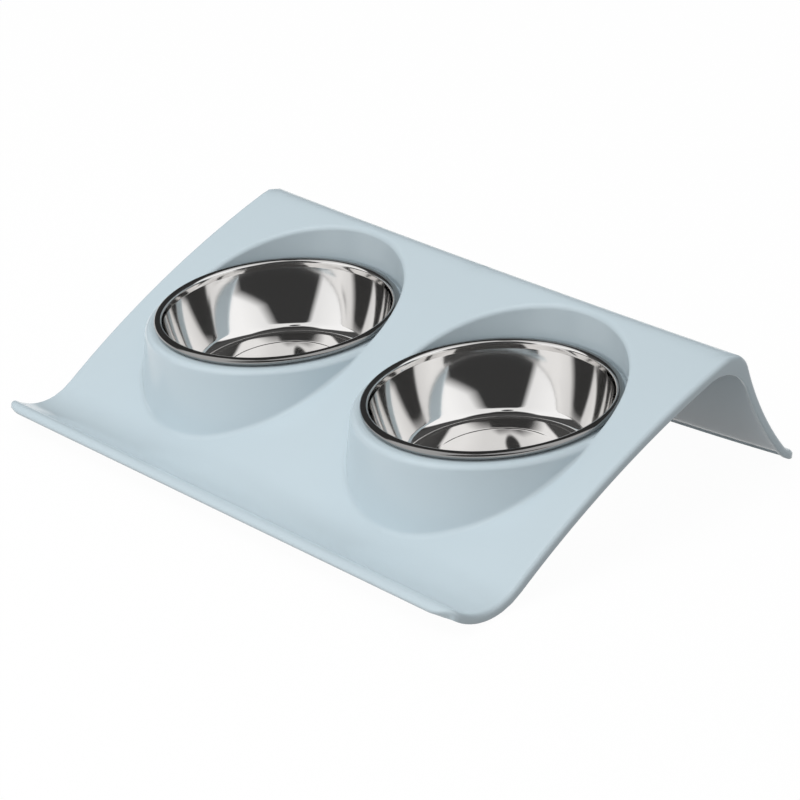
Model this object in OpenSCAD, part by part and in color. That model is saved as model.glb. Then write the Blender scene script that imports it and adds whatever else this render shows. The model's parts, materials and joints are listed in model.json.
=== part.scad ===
// Raised double pet bowl: a bent, moulded plastic stand that carries two loose
// steel bowls in round seats, on four anti-slip pads pressed into its underside.
// Millimetres, +Z up, +X to the right when seen from the low front edge (-Y).
// The origin is the middle of the footprint, on the floor.

/* [Stand] */
// Width of the sheet between the two seats
seats_apart = 30.5; // [24:0.5:60]
// Width of the sheet between a seat and the side of the stand
side_margin = 25.25; // [20:0.25:50]
// Thickness of the moulded sheet
sheet_t = 2.8; // [2:0.1:3.4]
// Depth of the turned-down edge, from the top surface to its bottom
edge_depth = 4.6; // [4.4:0.1:5.2]
// Thickness of the turned-down edge
edge_t = 2.4; // [1.6:0.1:3]
// Rounding along the top of the edge
edge_round = 2.4; // [1:0.1:3]
// Radius of the arch that the turned-down edge makes under the ridge
ridge_arch_r = 20; // [16:0.5:24]
// Radius of the front corners
front_corner_r = 14; // [10:0.5:24]
// Radius of the rear corners
rear_corner_r = 5; // [3.5:0.5:10]
// How far the rear leg bows forward in the middle
leg_bow = 12; // [0:0.5:16]
// Where that bow starts, measured along the sheet before the ridge
leg_bow_start = 45; // [20:1:60]

/* [Side profile] */
// Radius of the rolled lip along the front edge
lip_r = 5.5; // [5.4:0.1:9]
// Slope of the sheet at the front edge
lip_start_angle = 58; // [40:1:70]
// Slope at which the lip falls into the trough
lip_end_angle = 41; // [30:1:50]
// Radius of the trough behind the lip
trough_r = 29.5; // [22:0.5:36]
// Slope at the bottom of the long top surface
slope_start_angle = 31.5; // [28:0.5:34]
// Radius of the long top surface
slope_r = 540; // [480:5:640]
// Slope at the top of the long top surface
slope_end_angle = 15; // [13:0.5:17]
// Radius of the ridge
ridge_r = 12.7; // [11:0.1:18]
// Slope of the rear leg just under the ridge
leg_top_angle = 77; // [70:1:82]
// Slope of the rear leg above its toe
leg_foot_angle = 55; // [48:1:62]
// Radius of the toe that flares out at the back
toe_r = 11; // [8:0.5:20]
// Slope of the toe at the rear edge
toe_end_angle = 6; // [0:1:14]

/* [Bowls] */
// Outer radius of a bowl over its rolled rim
bowl_r = 64; // [60:0.5:68]
// Height of the rim's middle above the floor
rim_z = 50; // [48:0.5:54]
// Radius of the rolled rim in section
bead_r = 2.1; // [1.6:0.1:2.6]
// Height of the upright neck under the rim's middle
neck_h = 2.5; // [1:0.1:4]
// Thickness of the steel
steel_t = 0.8; // [0.6:0.1:1.2]
// Depth of the bowl from the rim's middle to the underside of its base
bowl_depth = 34.5; // [28:0.5:40]
// Radius of the base where the wall's lower bend ends
base_r = 43.5; // [38:0.5:46]
// Radius of the bend between wall and base
base_bend_r = 7; // [5:0.5:11]
// Radius of the wall's bulge, in section
wall_r = 120; // [90:5:200]
// Radius of the pressed ring in the base
base_ring_r = 30; // [20:0.5:36]
// Height of each pressed step in the base
base_step = 0.7; // [0.3:0.1:1.2]

/* [Bowl seats] */
// Distance from the front edge to the bowl centres
seat_from_front = 117; // [114:0.5:120]
// Free space between a bowl and the edge of its hole
seat_clearance = 0.6; // [0.3:0.1:1]
// Free space under the rim of a resting bowl
seat_gap = 0.3; // [0.1:0.1:0.5]
// Width of the flat ledge outside the bowl's rim
ledge_w = 2; // [1:0.5:3]
// Rounding of the seat's outer top edge
crest_r = 3.2; // [2:0.2:4]
// Draft of the outer seat wall
seat_draft = 9.5; // [6:0.5:11]
// Draft of the recess behind the bowl
recess_draft = 2; // [1:0.5:5]
// Thickness of the seat walls
seat_wall = 2.4; // [1.8:0.1:3]

/* [Pads] */
// Radius of an anti-slip pad
pad_r = 6; // [5:0.5:7]
// Thickness of an anti-slip pad
pad_t = 1.8; // [1.4:0.1:2]
// How far a pad stands out below the stand
pad_proud = 0.6; // [0.4:0.1:0.8]
// Free space round a pad in its pocket
pad_clearance = 0.15; // [0.05:0.05:0.3]
// Wall of the pocket that holds a pad
pocket_wall = 1.4; // [1:0.1:2]
// Distance of the front pads from the sides of the stand
front_pad_inset = 37.5; // [30:0.5:60]
// Distance of the rear pads from the sides of the stand
rear_pad_inset = 96.5; // [80:0.5:120]

/* [Hidden] */
$fn = 96;

plastic_colour = [0.76, 0.82, 0.85];
steel_colour = [0.72, 0.72, 0.73];
pad_colour = [0.30, 0.32, 0.33];

// One overrun for every cut
overrun = 1;

// Steps of the sheet's mesh: across the width, round the corners, over the edge's rounding
width_steps = 8;
front_corner_steps = 15;
rear_corner_steps = 4;
edge_round_steps = 4;
// Steps of a bend drawn in a section
bend_steps = 8;
bead_steps = 18;
wall_steps = 5;

// The two seats and the sheet round them make the width
ledge_r = bowl_r + ledge_w;
seat_x = ledge_r + seats_apart / 2;
half_w = seat_x + ledge_r + side_margin;

// SIDE PROFILE
// The top surface is a chain of tangent arcs, from the front edge to the rear edge.
// Slopes where the arcs meet, rising towards the back
slopes = [lip_start_angle, -lip_end_angle, slope_start_angle, slope_end_angle,
          -leg_top_angle, -leg_foot_angle, -toe_end_angle];
arc_steps = [8, 9, 24, 12, 8, 5];

function turn(i) = slopes[i + 1] - slopes[i];
function fall(i, radius) = sign(turn(i)) * radius * (cos(slopes[i + 1]) - cos(slopes[i]));
function run(i, radius) = sign(turn(i)) * radius * (sin(slopes[i + 1]) - sin(slopes[i]));

// The turned-down edge stands level with the pockets' rims, in the trough and at the toe
trough_z = pad_proud + edge_depth;
toe_end_z = pad_proud + edge_depth * cos(toe_end_angle);
front_edge_z = trough_z + fall(0, lip_r) + trough_r * (1 - cos(lip_end_angle));
ridge_end_z = front_edge_z - fall(0, lip_r) - fall(1, trough_r) - fall(2, slope_r)
            - fall(3, ridge_r);
leg_end_z = toe_end_z + fall(5, toe_r);
// The leg's radius follows from the height it has to come down
leg_r = (ridge_end_z - leg_end_z) / (cos(leg_foot_angle) - cos(leg_top_angle));
radii = [lip_r, trough_r, slope_r, ridge_r, leg_r, toe_r];
last_arc = len(radii) - 1;

function arc_length(i) = radii[i] * abs(turn(i)) * PI / 180;
function arc_starts(i = 0, s = 0, y = -seat_from_front, z = front_edge_z) =
    i > last_arc ? [[s, y, z]]
    : concat([[s, y, z]],
             arc_starts(i + 1, s + arc_length(i), y + run(i, radii[i]), z - fall(i, radii[i])));
starts = arc_starts();
sheet_length = starts[last_arc + 1][0];
ridge_s = (starts[3][0] + starts[4][0]) / 2;
bow_start_s = starts[3][0] - leg_bow_start;

function arc_at(s, i = 0) = (i == last_arc || s < starts[i + 1][0]) ? i : arc_at(s, i + 1);
function slope_at(s) =
    let (i = arc_at(s))
    slopes[i] + turn(i) * (s - starts[i][0]) / arc_length(i);

// Forward bow of the rear leg, none at its two sides
function bow(x, s) = leg_bow * (1 - pow(x / half_w, 2))
                   * pow(max(0, s - bow_start_s) / (sheet_length - bow_start_s), 2);

// A point of the bent sheet: x across, s along the top surface, depth below it
function bent(x, s, depth) =
    let (i = arc_at(s), a = slope_at(s), r = sign(turn(i)) * radii[i])
    [x,
     starts[i][1] + r * (sin(a) - sin(slopes[i])) + depth * sin(a) - bow(x, s),
     starts[i][2] + r * (cos(slopes[i]) - cos(a)) - depth * cos(a)];

// SHEET
// The flat pattern is a rectangle with round corners. A station is a place on its
// outline: the centre of the local corner, the outward direction and the radius.
function station(x, s, direction, radius) = [x, s, cos(direction), sin(direction), radius];
function mirrored(st) = [-st[0], st[1], -st[2], st[3], st[4]];
function on_outline(st, inset) =
    [st[0] + (st[4] - inset) * st[2], st[1] + (st[4] - inset) * st[3]];

side_s = [for (i = [0 : last_arc])
            for (k = [0 : arc_steps[i] - 1])
                let (s = starts[i][0] + arc_length(i) * k / arc_steps[i])
                if (s > front_corner_r + sheet_t && s < sheet_length - rear_corner_r - sheet_t) s];

right_side = concat(
    [for (k = [0 : front_corner_steps])
        station(half_w - front_corner_r, front_corner_r,
                90 * (k / front_corner_steps - 1), front_corner_r)],
    [for (s = side_s) station(half_w - front_corner_r, s, 0, front_corner_r)],
    [for (k = [0 : rear_corner_steps])
        station(half_w - rear_corner_r, sheet_length - rear_corner_r,
                90 * k / rear_corner_steps, rear_corner_r)]);
last_row = len(right_side) - 1;
// Places across the width, as shares of its half
across_shares = [for (k = [0 : width_steps]) 2 * k / width_steps - 1];

function across(st, k) = [st[0] * across_shares[k], st[1], st[2], st[3], st[4]];
outline = concat(
    [mirrored(right_side[0])],
    [for (k = [1 : width_steps - 1]) across(right_side[0], k)],
    [for (j = [0 : last_row]) right_side[j]],
    [for (k = [width_steps - 1 : -1 : 1]) across(right_side[last_row], k)],
    [for (j = [last_row : -1 : 1]) mirrored(right_side[j])]);

// Rings of the sheet's edge, from the underside out and up to the top surface.
// Each holds its inset, its depth and its share of the extra depth under the ridge.
bottom_round_share = 0.2;
inner_round = (edge_depth - sheet_t) / 2;
bottom_round = edge_t * bottom_round_share;
edge_rings = concat(
    [[edge_t + inner_round, sheet_t, 0],
     [edge_t, sheet_t + inner_round, 0],
     [edge_t, edge_depth, 1],
     [bottom_round, edge_depth, 1],
     [0, edge_depth - bottom_round, 1]],
    [for (k = [0 : edge_round_steps])
        let (a = 90 * k / edge_round_steps)
        [edge_round * (1 - cos(a)), edge_round * (1 - sin(a)), 0]]);
last_ring = len(edge_rings) - 1;

// Under the ridge the edge is deeper, so that its inner line is one round arch. The arch
// touches the lines that the edge follows on both sides of the ridge.
ridge_half_angle = (180 - abs(turn(3))) / 2;
arch_drop = (ridge_arch_r - ridge_r + edge_depth) / sin(ridge_half_angle);
arch_reach = arch_drop * cos(ridge_half_angle);
function arch_extra(s) =
    let (from_ridge = abs(s - ridge_s),
         a = from_ridge / ridge_r * 180 / PI,
         past = from_ridge - arc_length(3) / 2)
    past < 0 ? ridge_r - edge_depth + arch_drop * cos(a)
               - sqrt(pow(ridge_arch_r, 2) - pow(arch_drop * sin(a), 2))
    : past < arch_reach ? ridge_arch_r - sqrt(pow(ridge_arch_r, 2) - pow(arch_reach - past, 2))
    : 0;
function ring_point(ring, st) =
    let (p = on_outline(st, ring[0]))
    bent(p[0], p[1], ring[1] + ring[2] * arch_extra(p[1]));
function grid_point(ring, j, k) =
    let (p = on_outline(right_side[j], ring[0]))
    bent(p[0] * across_shares[k], p[1], ring[1]);
function grid_points(ring) =
    [for (j = [1 : last_row - 1]) for (k = [1 : width_steps - 1]) grid_point(ring, j, k)];

ring_size = len(outline);
ring_points = [for (ring = edge_rings) for (st = outline) ring_point(ring, st)];
grid_size = (last_row - 1) * (width_steps - 1);
sheet_points = concat(ring_points, grid_points(edge_rings[0]), grid_points(edge_rings[last_ring]));

// Index of the vertex at row j and column k of the grid that fills a ring
function grid_index(ring, grid, j, k) =
    j == 0 ? ring * ring_size + k
    : k == width_steps ? ring * ring_size + width_steps + j
    : k == 0 ? ring * ring_size + ring_size - j
    : j == last_row ? ring * ring_size + 2 * width_steps + last_row - k
    : (last_ring + 1) * ring_size + grid * grid_size + (j - 1) * (width_steps - 1) + k - 1;
function grid_faces(ring, grid) =
    [for (j = [0 : last_row - 1]) for (k = [0 : width_steps - 1])
        let (a = grid_index(ring, grid, j, k),
             b = grid_index(ring, grid, j, k + 1),
             c = grid_index(ring, grid, j + 1, k + 1),
             d = grid_index(ring, grid, j + 1, k))
        each (grid == 0 ? [[a, b, c], [a, c, d]] : [[a, d, c], [a, c, b]])];
function ring_faces() =
    [for (i = [0 : last_ring - 1]) for (n = [0 : ring_size - 1])
        let (m = (n + 1) % ring_size,
             a = i * ring_size + n,
             b = i * ring_size + m,
             c = (i + 1) * ring_size + m,
             d = (i + 1) * ring_size + n)
        each [[a, d, c], [a, c, b]]];

// The sheet's reach along Y puts the origin in the middle of the footprint
sheet_y = [for (p = ring_points) p[1]];
middle_y = (min(sheet_y) + max(sheet_y)) / 2;

module in_place() {
    translate([0, -middle_y, 0]) children();
}

module bent_sheet() {
    polyhedron(points = sheet_points,
               faces = concat(ring_faces(), grid_faces(0, 0), grid_faces(last_ring, 1)));
}

// All that lies above or below the middle of the sheet at a given x, over a stretch of x
mid_s = concat([0], [for (j = [1 : last_row - 1]) on_outline(right_side[j], 0)[1]], [sheet_length]);
function middle_line(x) =
    [for (s = mid_s) let (p = bent(x, s, sheet_t / 2)) [p[1], p[2]]];

module beside_sheet(x, width, limit_z) {
    line = middle_line(x);
    y_first = line[0][0];
    y_last = line[len(line) - 1][0];
    translate([x - width / 2, 0, 0])
        rotate([90, 0, 90])
            linear_extrude(height = width)
                polygon(concat(line, [[y_last, limit_z], [y_first, limit_z]]));
}

// BOWLS AND SEATS
// Sections are drawn about the bowl's axis, with zero height at the middle of its rim
function arc_points(x, y, radius, from, to, steps) =
    [for (k = [0 : steps])
        let (a = from + (to - from) * k / steps)
        [x + radius * cos(a), y + radius * sin(a)]];

bead_x = bowl_r - bead_r;
inner_rim_r = bowl_r - 2 * bead_r;
curl_start_angle = 180;
curl_end_angle = -125;

// Inner surface: a short neck hangs from the rim, and the bulging wall runs from it to the
// bend. The wall's arc touches the bend's circle.
base_z = -(bowl_depth - steel_t);
bend_z = base_z + base_bend_r;
inward = wall_r - base_bend_r;
reach = norm([inner_rim_r - base_r, bend_z + neck_h]);
wall_angle = atan2(-bend_z - neck_h, inner_rim_r - base_r) - 180
    + acos((pow(inward, 2) + pow(reach, 2) - pow(wall_r, 2)) / (2 * inward * reach));
wall_x = base_r - inward * cos(wall_angle);
wall_z = bend_z - inward * sin(wall_angle);
neck_angle = atan2(-neck_h - wall_z, inner_rim_r - wall_x);
wall_step = (neck_angle - wall_angle) / wall_steps;
neck_r = inner_rim_r + steel_t;

function base_line(drop) =
    [[0, base_z + 2 * base_step - drop],
     [base_ring_r, base_z + 2 * base_step - drop],
     [base_ring_r + base_step, base_z + base_step - drop],
     [base_r - base_step, base_z + base_step - drop],
     [base_r, base_z - drop]];
function bend_points(radius) = arc_points(base_r, bend_z, radius, -90, wall_angle, bend_steps);
function wall_points(radius) =
    arc_points(wall_x, wall_z, radius, wall_angle + wall_step, neck_angle, wall_steps - 1);
function reversed(list) = [for (i = [len(list) - 1 : -1 : 0]) list[i]];

bowl_section = concat(
    base_line(0),
    bend_points(base_bend_r),
    wall_points(wall_r),
    arc_points(bead_x, 0, bead_r, curl_start_angle, curl_end_angle, bead_steps),
    reversed(arc_points(bead_x, 0, bead_r - steel_t, curl_start_angle, curl_end_angle, bead_steps)),
    reversed(wall_points(wall_r + steel_t)),
    reversed(bend_points(base_bend_r + steel_t)),
    reversed(base_line(steel_t)));

module bowl() {
    rotate_extrude() polygon(bowl_section);
}

hole_r = neck_r + seat_clearance;
ledge_z = -(bead_r + seat_gap);
ledge_bottom_z = ledge_z - seat_wall;
crest_z = ledge_z - crest_r;
wall_top_r = ledge_r + crest_r * cos(seat_draft);
wall_top_z = crest_z + crest_r * sin(seat_draft);
ridge_top_z = ridge_end_z + ridge_r;

function outer_wall_r(z) = wall_top_r + (wall_top_z - z) * tan(seat_draft);
function inner_wall_r(z) = outer_wall_r(z) - seat_wall / cos(seat_draft);
function recess_r(z) = ledge_r + (z - ledge_z) * tan(recess_draft);

// The seat's outside where it stands proud of the slope
module seat_mound() {
    rotate_extrude()
        polygon(concat(
            [[0, -rim_z], [outer_wall_r(-rim_z), -rim_z]],
            arc_points(ledge_r, crest_z, crest_r, seat_draft, 90, bend_steps),
            [[0, ledge_z]]));
}

// The wall round the recess that sinks into the slope behind the bowl
module recess_shell() {
    rotate_extrude()
        polygon([[0, ledge_bottom_z],
                 [recess_r(ledge_bottom_z) + seat_wall, ledge_bottom_z],
                 [recess_r(ridge_top_z - rim_z) + seat_wall, ridge_top_z - rim_z],
                 [0, ridge_top_z - rim_z]]);
}

// What is open in a seat: the recess, the hole and the hollow mound
module seat_cut() {
    top = ridge_top_z - rim_z + overrun;
    bottom = -rim_z - overrun;
    rotate_extrude()
        polygon([[0, ledge_z], [recess_r(ledge_z), ledge_z], [recess_r(top), top], [0, top]]);
    translate([0, 0, ledge_bottom_z - overrun])
        cylinder(h = ledge_z - ledge_bottom_z + 2 * overrun, r = hole_r);
    rotate_extrude()
        polygon([[0, bottom], [inner_wall_r(bottom), bottom],
                 [inner_wall_r(ledge_bottom_z), ledge_bottom_z], [0, ledge_bottom_z]]);
}

module at_seat(side) {
    translate([side * seat_x, 0, rim_z]) children();
}

module seat_walls(side) {
    span = 2 * outer_wall_r(-rim_z) + overrun;
    intersection() {
        at_seat(side) seat_mound();
        beside_sheet(side * seat_x, span, ridge_top_z);
    }
    intersection() {
        at_seat(side) recess_shell();
        beside_sheet(side * seat_x, span, 0);
    }
}

// PADS
front_pad_s = starts[1][0] + arc_length(1) * lip_end_angle / (lip_end_angle + slope_start_angle);
front_pad_x = half_w - front_pad_inset;
rear_pad_x = half_w - rear_pad_inset;
pocket_r = pad_r + pad_clearance;
boss_r = pocket_r + pocket_wall;
rear_pad_s = sheet_length - edge_t - boss_r;

module pad_boss(x, s) {
    intersection() {
        translate([x, bent(x, s, 0)[1], pad_proud])
            cylinder(h = ridge_top_z, r = boss_r);
        beside_sheet(x, 2 * boss_r + overrun, 0);
    }
}

module pad_pocket(x, s) {
    translate([x, bent(x, s, 0)[1], pad_proud - overrun])
        cylinder(h = pad_t - pad_proud + overrun, r = pocket_r);
}

module pad(x, s) {
    color(pad_colour)
        in_place()
            translate([x, bent(x, s, 0)[1], 0])
                cylinder(h = pad_t, r = pad_r);
}

// SUB-PARTS
module stand() {
    color(plastic_colour)
        in_place()
            difference() {
                union() {
                    bent_sheet();
                    for (side = [-1, 1]) {
                        seat_walls(side);
                        pad_boss(side * front_pad_x, front_pad_s);
                        pad_boss(side * rear_pad_x, rear_pad_s);
                    }
                }
                for (side = [-1, 1]) {
                    at_seat(side) seat_cut();
                    pad_pocket(side * front_pad_x, front_pad_s);
                    pad_pocket(side * rear_pad_x, rear_pad_s);
                }
            }
}

module left_bowl() {
    color(steel_colour) in_place() at_seat(-1) bowl();
}

module right_bowl() {
    color(steel_colour) in_place() at_seat(1) bowl();
}

module front_left_pad() {
    pad(-front_pad_x, front_pad_s);
}

module front_right_pad() {
    pad(front_pad_x, front_pad_s);
}

module rear_left_pad() {
    pad(-rear_pad_x, rear_pad_s);
}

module rear_right_pad() {
    pad(rear_pad_x, rear_pad_s);
}

stand();
left_bowl();
right_bowl();
front_left_pad();
front_right_pad();
rear_left_pad();
rear_right_pad();
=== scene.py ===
"""Looks of a raised double pet bowl: a bent, moulded plastic stand, two polished steel bowls and its pads."""

import json
from dataclasses import dataclass
from math import acos, atan2, cos, pi, radians, sin, tan

import bmesh
import bpy
import numpy as np
from bpy.props import FloatProperty, FloatVectorProperty, PointerProperty
from mathutils import Matrix, Vector

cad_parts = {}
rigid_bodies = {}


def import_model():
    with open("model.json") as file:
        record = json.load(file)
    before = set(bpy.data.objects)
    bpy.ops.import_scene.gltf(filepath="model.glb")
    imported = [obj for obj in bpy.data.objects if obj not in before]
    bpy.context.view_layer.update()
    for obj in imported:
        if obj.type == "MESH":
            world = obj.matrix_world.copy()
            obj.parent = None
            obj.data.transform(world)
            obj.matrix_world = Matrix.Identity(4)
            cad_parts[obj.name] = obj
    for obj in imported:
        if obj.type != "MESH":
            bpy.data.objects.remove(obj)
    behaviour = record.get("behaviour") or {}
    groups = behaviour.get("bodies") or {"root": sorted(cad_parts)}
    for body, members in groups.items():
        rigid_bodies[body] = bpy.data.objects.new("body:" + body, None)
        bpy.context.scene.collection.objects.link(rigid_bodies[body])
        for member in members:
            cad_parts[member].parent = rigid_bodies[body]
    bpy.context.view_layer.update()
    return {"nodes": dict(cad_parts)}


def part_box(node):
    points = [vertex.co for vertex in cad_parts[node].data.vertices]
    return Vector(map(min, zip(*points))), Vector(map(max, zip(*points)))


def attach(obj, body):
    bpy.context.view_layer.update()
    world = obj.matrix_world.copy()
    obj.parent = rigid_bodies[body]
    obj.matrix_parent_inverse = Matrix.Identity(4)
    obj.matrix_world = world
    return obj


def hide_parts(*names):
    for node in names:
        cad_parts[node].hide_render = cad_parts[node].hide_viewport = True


bl_info = {
    "name": "Double pet bowl",
    "version": (1, 0, 0),
    "blender": (4, 5, 0),
    "location": "View3D > Sidebar > Pet bowl",
    "description": "Models the stand, the steel bowls and the pads round the packed frame, and lights them",
    "category": "Object",
}

MM = 0.001
QUARTER = pi / 2
STAND_BODY = "stand"
BOWLS = {"left_bowl": -1, "right_bowl": 1}
PADS = ("front_left_pad", "front_right_pad", "rear_left_pad", "rear_right_pad")
# Two places closer than this are one
HAIR = 1e-9
# Numbers of two arcs in the stand's profile
RIDGE, TOE = 3, 5
# How finely the meshes are divided: round the seats, pockets and bowls, then along their parts
SEAT_TURNS, POCKET_SEGMENTS, BOWL_SEGMENTS = 180, 48, 256
SEAT_ROWS, CORNER_STEPS, BOX_STEPS, EDGE_STEPS, SMALL_STEPS, FOOT_STEPS = 52, 10, 9, 7, 3, 2
BASE_STEPS, FLAT_STEPS, BEND_STEPS, WALL_STEPS, NECK_STEPS, CURL_STEPS = 5, 8, 20, 24, 6, 36
SHEET_SAMPLES = 800

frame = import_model()


def middle(node):
    low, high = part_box(node)
    return (low + high) / 2


# The bowls' axes and the underside of their bases, from the frame
SEAT_X = middle("right_bowl").x
SEAT_Y = middle("right_bowl").y
BASE_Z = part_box("right_bowl")[0].z


def length(name, description, millimetres, low=0):
    return FloatProperty(name=name, description=description, default=millimetres * MM, min=low, unit="LENGTH")


def angle(name, description, degrees):
    return FloatProperty(name=name, description=description, default=radians(degrees), subtype="ANGLE")


def share(name, description, default):
    return FloatProperty(name=name, description=description, default=default, min=0, max=1, subtype="FACTOR")


def colour(name, description, default):
    return FloatVectorProperty(name=name, description=description, default=default, min=0, max=1,
                               size=3, subtype="COLOR")


class StandSizes(bpy.types.PropertyGroup):
    sheet_t: length("Sheet", "Thickness of the moulded sheet", 2.8)
    edge_depth: length("Edge depth", "Depth of the turned-down edge, from the top surface", 4.6)
    edge_t: length("Edge thickness", "Thickness of the turned-down edge", 2.4)
    edge_round: length("Edge rounding", "Rounding along the top of the edge", 2.4)
    bottom_round: length("Edge bottom", "Rounding along the bottom of the edge", 0.5)
    ridge_arch_r: length("Ridge arch", "Radius of the arch that the edge makes under the ridge", 20)
    side_margin: length("Side margin", "Sheet between a seat and the side of the stand", 25.25)
    front_corner_r: length("Front corners", "Radius of the front corners", 14)
    rear_corner_r: length("Rear corners", "Radius of the rear corners", 5)
    leg_bow: length("Leg bow", "How far the rear leg bows forward in the middle", 12)
    leg_bow_start: length("Bow start", "Where that bow starts, along the sheet before the ridge", 45)
    lip_r: length("Lip", "Radius of the rolled lip along the front edge", 5.5)
    trough_r: length("Trough", "Radius of the trough behind the lip", 29.5)
    slope_r: length("Slope", "Radius of the long top surface", 540)
    ridge_r: length("Ridge", "Radius of the ridge", 12.7)
    toe_r: length("Toe", "Radius of the toe that flares out at the back", 11)
    lip_start_angle: angle("Lip start", "Slope of the sheet at the front edge", 58)
    lip_end_angle: angle("Lip end", "Slope at which the lip falls into the trough", 41)
    slope_start_angle: angle("Slope start", "Slope at the bottom of the long top surface", 31.5)
    slope_end_angle: angle("Slope end", "Slope at the top of the long top surface", 15)
    leg_top_angle: angle("Leg top", "Slope of the rear leg just under the ridge", 77)
    leg_foot_angle: angle("Leg foot", "Slope of the rear leg above its toe", 55)
    toe_end_angle: angle("Toe end", "Slope of the toe at the rear edge", 6)
    front_y: length("Front edge", "Distance from the front edge to the bowl centres", 117)


class SeatSizes(bpy.types.PropertyGroup):
    hole_r: length("Hole", "Radius of the hole that a bowl hangs in", 61.2)
    ledge_drop: length("Ledge drop", "Height of the rim's middle above the ledge", 2.4)
    ledge_r: length("Ledge", "Radius of the ledge under the bowl's rim", 66)
    crest_r: length("Crest", "Rounding of the seat's outer top edge", 3.2)
    draft: angle("Draft", "Draft of the outer seat wall", 9.5)
    recess_draft: angle("Recess draft", "Draft of the recess behind the bowl", 2)
    wall: length("Wall", "Thickness of the seat walls", 2.4)
    hem_round: length("Hole rounding", "Rounding of the hole's edges", 0.5)
    recess_round: length("Recess rounding", "Rounding where the recess meets the slope", 2.2)
    corner_round: length("Corner rounding", "Rounding in the corner of ledge and recess", 0.8)
    foot_round: length("Foot rounding", "Rounding where the seat meets the slope", 1.8)
    foot_fade: length("Foot fade", "Depth under the ledge over which that rounding grows", 9)
    under_round: length("Underside rounding", "Rounding of the corners underneath", 1.2)
    front_reach: length("Front reach", "Radius of the seat's own mesh at the front", 80)
    rear_reach: length("Rear reach", "Radius of the seat's own mesh at the back", 70.4)


class PocketSizes(bpy.types.PropertyGroup):
    proud: length("Proud", "How far a pad stands out below the stand", 0.6)
    clearance: length("Clearance", "Free space round a pad in its pocket", 0.15)
    wall: length("Wall", "Wall of the pocket that holds a pad", 1.4)
    rounding: length("Rounding", "Rounding of the pocket's rim", 0.3)
    past_edge: share("Past the edge",
                     "Share of a pocket's reach past the rear edge that is left to show", 0.1)


class BowlSizes(bpy.types.PropertyGroup):
    rim_r: length("Rim", "Outer radius over the rolled rim", 64)
    bead_r: length("Bead", "Radius of the rolled rim in section", 2.1)
    neck_h: length("Neck", "Height of the upright neck under the rim's middle", 2.5)
    neck_round: length("Neck rounding", "Rounding where the neck meets the wall", 1.5)
    steel_t: length("Steel", "Thickness of the steel", 0.8)
    depth: length("Depth", "From the rim's middle to the underside of the base", 34.5)
    base_r: length("Base", "Radius of the base where the bend ends", 43.5)
    bend_r: length("Bend", "Radius of the bend between wall and base", 7)
    wall_r: length("Wall", "Radius of the wall's bulge in section", 120)
    ring_r: length("Ring", "Radius of the pressed ring in the base", 30)
    step: length("Step", "Height of each pressed step in the base", 0.7)
    step_round: length("Step rounding", "Rounding of the step at the base's edge", 0.8)
    ring_run: length("Ring width", "Width of the slope at the pressed ring", 2.4)
    ring_round: length("Ring rounding", "Rounding of the pressed ring", 6)
    curl_start_angle: angle("Curl start", "Where the rim's curl starts, about its middle", 180)
    curl_end_angle: angle("Curl end", "Where the rim's curl ends, about its middle", -125)


class Finishes(bpy.types.PropertyGroup):
    plastic: colour("Plastic", "Colour of the moulded stand", (0.545, 0.640, 0.690))
    steel: colour("Steel", "Colour of the polished steel", (0.86, 0.85, 0.84))
    pad: colour("Pad", "Colour of the anti-slip pads", (0.075, 0.085, 0.09))
    plastic_gloss: share("Plastic roughness", "Roughness of the moulded stand", 0.2)
    steel_gloss: share("Steel roughness", "Roughness of the polished steel", 0.05)
    # Painted shade: this share darkens the rolled rim's steel colour, in place of the dark room the rim
    # mirrors and the shadow in the gap under it
    painted_rim_shade: share("Painted rim shade", "Tone of the rolled rim, as a share of the steel's", 0.36)


class StudioSizes(bpy.types.PropertyGroup):
    lens: length("Lens", "Focal length of the camera", 145.68)
    azimuth: angle("Azimuth", "Direction of the camera round the bowl centres", 50.724)
    elevation: angle("Elevation", "Height of the camera over the horizon", 25.769)
    roll: angle("Roll", "Turn of the camera about its line of sight", -5.304)
    distance: length("Distance", "Distance from the camera to its target", 1592.82)
    target_x: length("Target X", "Target of the camera, from the middle", 27.557, low=-1)
    target_y: length("Target Y", "Target of the camera, from the bowls' axes", -13.063, low=-1)
    target_z: length("Target Z", "Height of the camera's target", 36.724)
    floor: length("Floor", "Width of the floor", 9000)
    ambient_low: share("Dim side", "Brightness of the room's dim side", 0.065)
    ambient_high: share("Bright side", "Brightness of the room's bright side", 0.7)


# Mesh making


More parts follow.
